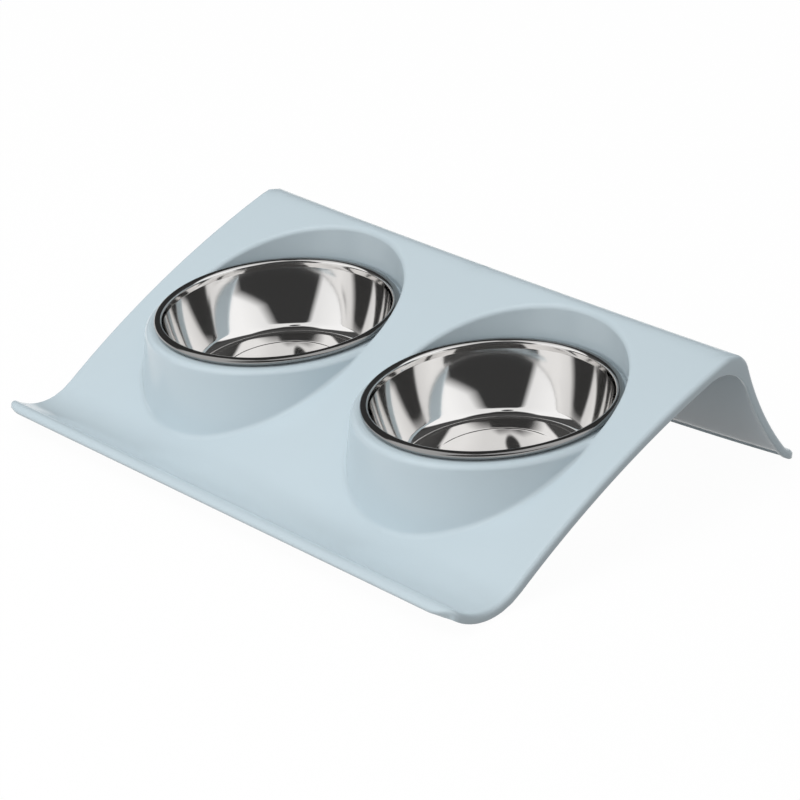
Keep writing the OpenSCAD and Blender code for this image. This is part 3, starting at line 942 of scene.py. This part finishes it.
def steel():
    f, bowl = bpy.context.scene.bowl_finish, bpy.context.scene.bowl_bowl
    m = Material("polished_steel", metallic=1.0)
    gloss_spread, rim_gloss, rim_inset, rim_soft = 0.03, 0.06, 0.5 * MM, 0.7 * MM
    cloud = m.noise(scale=60, detail=2)
    streak = m.noise(scale=900, detail=2)
    wobble = m.noise(scale=22, detail=1)
    x, y = abs(m.axis("X")) - SEAT_X, m.axis("Y") - SEAT_Y
    distance = x.math("SQRT", x * x + y * y)
    # Painted shade on the rolled rim: past its inner side the steel colour is darkened to stand in for the
    # dark room it mirrors and the shadow under it, and the rim is also made rougher
    rim = distance.past(bowl.rim_r - 2 * bowl.bead_r + rim_inset, rim_soft)
    tone = m.mix(rim, m.tones(cloud, f.steel, low=0.97, high=1.0), plain(f.steel, f.painted_rim_shade))
    relief = m.bump(wobble, strength=0.05, distance=0.6 * MM)
    roughness = f.steel_gloss + streak * gloss_spread + rim * rim_gloss
    return m.feed(base_color=tone, roughness=roughness, normal=relief)


def rubber():
    f = bpy.context.scene.bowl_finish
    m = Material("pad_rubber", ior=1.5)
    gloss, gloss_spread = 0.78, 0.1
    cloud = m.noise(scale=120, detail=2)
    grain = m.noise(scale=3000, detail=2)
    tone = m.tones(cloud, f.pad, low=0.85, high=1.1)
    relief = m.bump(grain, strength=0.3, distance=0.2 * MM)
    return m.feed(base_color=tone, roughness=gloss + cloud * gloss_spread, normal=relief)


def backdrop():
    """White to the camera and in reflections, with the part's shadow kept."""
    m = Material("white_floor", roughness=0.9, specular_ior_level=0.0)
    white, glow_share, glow_strength = (1, 1, 1), 0.92, 1.055
    m.feed(base_color=m.tones(m.noise(scale=3, detail=2), white, low=0.32, high=0.33))
    seen = (m.ray("Is Camera Ray") + m.ray("Is Glossy Ray") + m.ray("Is Transmission Ray")).share()
    glow = m.value("ShaderNodeEmission", {"Color": plain(white, 1), "Strength": glow_strength})
    surface = m.mix_shader(seen * glow_share, Socket(m, m.shader.outputs[0]), glow)
    m.set(m.nodes["Material Output"], {"Surface": surface})
    return m.material


# Studio

# What the steel mirrors is a dark room with a tent of white cloth, open at the camera. Directions in it are a
# turn from the camera and a height, in degrees. These edges of the tent are a place and a softness.
TENT_RIGHT, TENT_LEFT, TENT_TOP = (-101, 4), (88, 6), (64.5, 5)
# More height of the tent's top past a turn: turn, width of the step, height
TENT_STEPS = ((-38, 14, 3.5), (0, 20, 5))
# Edges of the gap at the camera, as straight lines: turn at height 0, turn per height
GAP_RIGHT = (-48, 0.42)
GAP_LEFT = ((43, 0), (66, -2.4), (34, -0.8))
# The gap's top: height, the turn where it is highest, fall per squared degree
GAP_TOP = (39.5, -14, 0.006)
GAP_RIGHT_SOFT, GAP_LEFT_SOFT, GAP_TOP_SOFT = 6, 14, 7
# A dark hole in the cloth over the camera: turn, height, half width, half height, softness of its edge
HOLE = (-25, 59, 9.5, 6.5, 0.6)
# Brightness of the cloth and of the dark room: near a turn, away from it, that turn, its reach, softness
CLOTH = (0.9, 1.05, -15, 45, 30)
DARK = (0.04, 0.07, 0, 98, 20)
# Lamps: name, watts, size and place in metres
LAMPS = (
    ("key_light", 11.7, 1.0, (-0.3, -0.55, 1.5)),
    ("fill_light", 3.2, 0.5, (0.15, -1.25, 0.4)),
)
# Direction that the room's light mostly comes from
BRIGHT_SIDE = Vector((-0.15, -0.1, 0.98))


class PETBOWL_OT_stage(bpy.types.Operator):
    """Makes the white floor, the soft studio light and the camera at the photograph's angle"""

    bl_idname = "petbowl.stage"
    bl_label = "Make studio"

    def execute(self, context):
        scene, studio = context.scene, context.scene.bowl_studio
        self.add_floor(studio)
        self.add_world(scene, studio)
        self.add_lamps(scene)
        self.add_camera(scene, studio)
        scene.view_settings.view_transform = "Standard"
        return {"FINISHED"}

    def add_floor(self, studio):
        draft = MeshDraft()
        side = np.array([-1, 0, 1]) * studio.floor / 2
        x, y = np.meshgrid(side, side)
        draft.quads(draft.add(np.stack([x, y, 0 * x], axis=-1)))
        floor = draft.build("floor")
        floor.data.materials.append(backdrop())

    def add_world(self, scene, studio):
        """Even soft light, and for reflections a dark room with a tent of white cloth."""
        scene.world = bpy.data.worlds.new("studio")
        scene.world.use_nodes = True
        tree = Tree(scene.world.node_tree)
        direction = tree.value("ShaderNodeTexCoord", output="Generated")

        def background(brightness):
            return tree.value("ShaderNodeBackground", {"Color": (brightness,) * 3 + (1,), "Strength": 1.0})

        def along(vector):
            inputs = {0: direction, 1: vector}
            return tree.value("ShaderNodeVectorMath", inputs, "Value", operation="DOT_PRODUCT")

        room = self.room(tree, background, along, studio.azimuth)
        lit = (0.5 + 0.5 * along(BRIGHT_SIDE.normalized())).share()
        even = tree.mix_shader(lit, background(studio.ambient_low), background(studio.ambient_high))
        light = tree.mix_shader(tree.ray("Is Glossy Ray"), even, room)
        surface = tree.mix_shader(tree.ray("Is Camera Ray"), light, background(1.0))
        tree.set(tree.nodes["World Output"], {"Surface": surface})

    def room(self, tree, background, along, azimuth):
        """The room as reflections see it."""
        ahead = along(Vector((sin(azimuth), -cos(azimuth), 0)))
        aside = along(Vector((cos(azimuth), sin(azimuth), 0)))
        degrees = 180 / pi
        turn = ahead.math("ARCTAN2", aside, ahead) * degrees
        height = ahead.math("ARCSINE", along(Vector((0, 0, 1)))) * degrees

        top = height - TENT_TOP[0]
        for step_turn, width, rise in TENT_STEPS:
            top = top - turn.past(step_turn, width) * rise
        tent = turn.past(*TENT_RIGHT) * (1 - turn.past(*TENT_LEFT)) * (1 - top.past(0, TENT_TOP[1]))

        right = GAP_RIGHT[0] + GAP_RIGHT[1] * height
        cap, steep, flat = [start + slope * height for start, slope in GAP_LEFT]
        left = cap.math("MINIMUM", cap, cap.math("MAXIMUM", steep, flat))
        highest, peak, fall = GAP_TOP
        off = turn - peak
        over = (height + off * off * fall).past(highest, GAP_TOP_SOFT)
        gap = turn.past(right, GAP_RIGHT_SOFT) * (1 - turn.past(left, GAP_LEFT_SOFT)) * (1 - over)

        hole_turn, hole_height, half_w, half_h, soft = HOLE
        across, up = (turn - hole_turn) / half_w, (height - hole_height) / half_h
        hole = 1 - (across * across + up * up).past(1, soft)

        def shade(near, far, centre, reach, softness):
            away = abs(turn - centre).past(reach, softness)
            return tree.mix_shader(away, background(near), background(far))

        return tree.mix_shader(tent * (1 - gap) * (1 - hole), shade(*DARK), shade(*CLOTH))

    def add_lamps(self, scene):
        for name, energy, size, place in LAMPS:
            light = bpy.data.lights.new(name, "AREA")
            light.energy = energy
            light.size = size
            lamp = bpy.data.objects.new(name, light)
            lamp.location = place
            lamp.rotation_mode = "QUATERNION"
            lamp.rotation_quaternion = (-Vector(place)).to_track_quat("-Z", "Y")
            lamp.visible_glossy = False
            scene.collection.objects.link(lamp)

    def add_camera(self, scene, studio):
        a, e, roll = studio.azimuth, studio.elevation, studio.roll
        back = Vector((sin(a) * cos(e), -cos(a) * cos(e), sin(e)))
        level = Vector((cos(a), sin(a), 0))
        upright = back.cross(level)
        right = level * cos(roll) + upright * sin(roll)
        up = upright * cos(roll) - level * sin(roll)
        target = Vector((studio.target_x, studio.target_y + SEAT_Y, studio.target_z))
        camera = bpy.data.objects.new("camera", bpy.data.cameras.new("camera"))
        camera.data.lens = studio.lens / MM
        camera.matrix_world = Matrix.Translation(target + back * studio.distance) @ \
            Matrix((right, up, back)).transposed().to_4x4()
        scene.collection.objects.link(camera)
        scene.camera = camera


class PETBOWL_PT_panel(bpy.types.Panel):
    """Lists the steps that make the bowl set"""

    bl_idname = "PETBOWL_PT_panel"
    bl_label = "Pet bowl"
    bl_space_type = "VIEW_3D"
    bl_region_type = "UI"
    bl_category = "Pet bowl"

    def draw(self, context):
        for operator in OPERATORS:
            self.layout.operator(operator.bl_idname)


GROUPS = {
    "bowl_stand": StandSizes,
    "bowl_seat": SeatSizes,
    "bowl_pocket": PocketSizes,
    "bowl_bowl": BowlSizes,
    "bowl_finish": Finishes,
    "bowl_studio": StudioSizes,
}
OPERATORS = (PETBOWL_OT_stage, PETBOWL_OT_stand, PETBOWL_OT_bowls, PETBOWL_OT_pads)
CLASSES = (*GROUPS.values(), *OPERATORS, PETBOWL_PT_panel)


def register():
    for cls in CLASSES:
        bpy.utils.register_class(cls)
    for name, group in GROUPS.items():
        setattr(bpy.types.Scene, name, PointerProperty(type=group))


def unregister():
    for name in GROUPS:
        delattr(bpy.types.Scene, name)
    for cls in reversed(CLASSES):
        bpy.utils.unregister_class(cls)


def main():
    register()
    bpy.ops.petbowl.stage()
    bpy.ops.petbowl.stand()
    bpy.ops.petbowl.bowls()
    bpy.ops.petbowl.pads()


if __name__ == "__main__":
    main()
